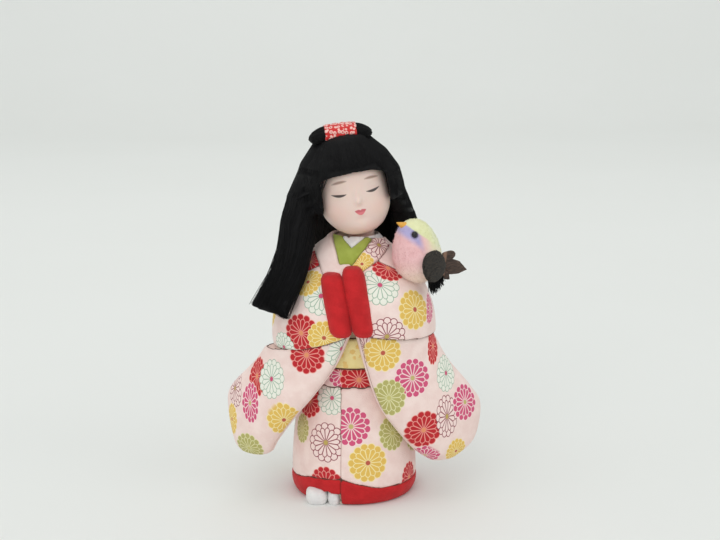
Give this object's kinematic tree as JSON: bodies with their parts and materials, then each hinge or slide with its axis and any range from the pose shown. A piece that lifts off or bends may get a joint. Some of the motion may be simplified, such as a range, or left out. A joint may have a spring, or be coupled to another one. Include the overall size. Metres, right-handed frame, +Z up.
{
  "type": "kimekomi doll",
  "caption": "Standing kimekomi doll in a chrysanthemum-print kimono, with long straight hair, a head that turns and lifts out on its peg, and a small bird on the shoulder.",
  "frame": {"origin": "middle of the base, on the surface the doll stands on", "axes": "+Z up, the figure faces -Y, +X towards the figure's own left hand"},
  "size_m": [0.1188, 0.0729, 0.1762],
  "materials": {
    "paste": "pressed sawdust paste, bare in the grooves",
    "dowel_wood": "plain turned wood",
    "paper": "matt paper",
    "printed_crepe": "pale pink crepe printed with chrysanthemums",
    "red_crepe": "plain red crepe, padded",
    "green_silk": "plain leaf-green silk",
    "white_silk": "plain white silk",
    "gold_brocade": "yellow-gold brocade",
    "shell_white": "smooth shell-white paint with a soft sheen",
    "silk_thread": "straight black silk thread",
    "dotted_silk": "red silk with small tie-dyed rings",
    "down": "short downy fibre, yellow above and pink below",
    "beak": "smooth",
    "bead": "glossy",
    "feather": "dark brown feather",
    "wire": "plain wire"
  },
  "bodies": {
    "figure": {"body_core": "paste", "right_sleeve_core": "paste", "left_sleeve_core": "paste", "right_sleeve_dowel": "dowel_wood", "left_sleeve_dowel": "dowel_wood", "base_cover": "paper", "right_skirt_panel": "printed_crepe", "left_skirt_panel": "printed_crepe", "waist_tuck": "printed_crepe", "right_sleeve_front": "printed_crepe", "right_sleeve_back": "printed_crepe", "left_sleeve_front": "printed_crepe", "left_sleeve_back": "printed_crepe", "left_collar": "printed_crepe", "right_collar": "printed_crepe", "back_panel": "printed_crepe", "right_shoulder_panel": "printed_crepe", "right_arm_panel": "printed_crepe", "left_shoulder_panel": "printed_crepe", "left_arm_panel": "printed_crepe", "right_hem": "red_crepe", "left_hem": "red_crepe", "right_cuff": "red_crepe", "left_cuff": "red_crepe", "green_collar": "green_silk", "white_collar": "white_silk", "right_foot": "white_silk", "left_foot": "white_silk", "obi_band": "gold_brocade", "obi_knot": "gold_brocade"},
    "neck_wrap": {"peg_wrap": "paper"},
    "head": {"head": "shell_white", "neck_peg": "dowel_wood", "crown_hair": "silk_thread", "fringe_hair": "silk_thread", "right_side_hair": "silk_thread", "left_side_hair": "silk_thread", "back_hair": "silk_thread", "right_hair_loop": "silk_thread", "left_hair_loop": "silk_thread", "hair_tie": "dotted_silk"},
    "bird": {"bird_body": "down", "bird_beak": "beak", "bird_left_eye": "bead", "bird_right_eye": "bead", "bird_left_wing": "feather", "bird_right_wing": "feather", "bird_tail": "feather", "bird_wire": "wire"}
  },
  "joints": [
    {"name": "head_lift", "type": "slide", "parent": "figure", "child": "neck_wrap", "axis": [-0.1809, -0.1219, 0.9759], "range_m": [0, 0.03]},
    {"name": "head_turn", "type": "hinge", "parent": "neck_wrap", "child": "head", "pos_m": [0.0035, 0, 0.123], "axis": [-0.1809, -0.1219, 0.9759], "range_deg": [-4, 10]},
    {"name": "bird_lift", "type": "slide", "parent": "figure", "child": "bird", "axis": [0.4201, -0.5001, 0.7572], "range_m": [0, 0.012]}
  ]
}
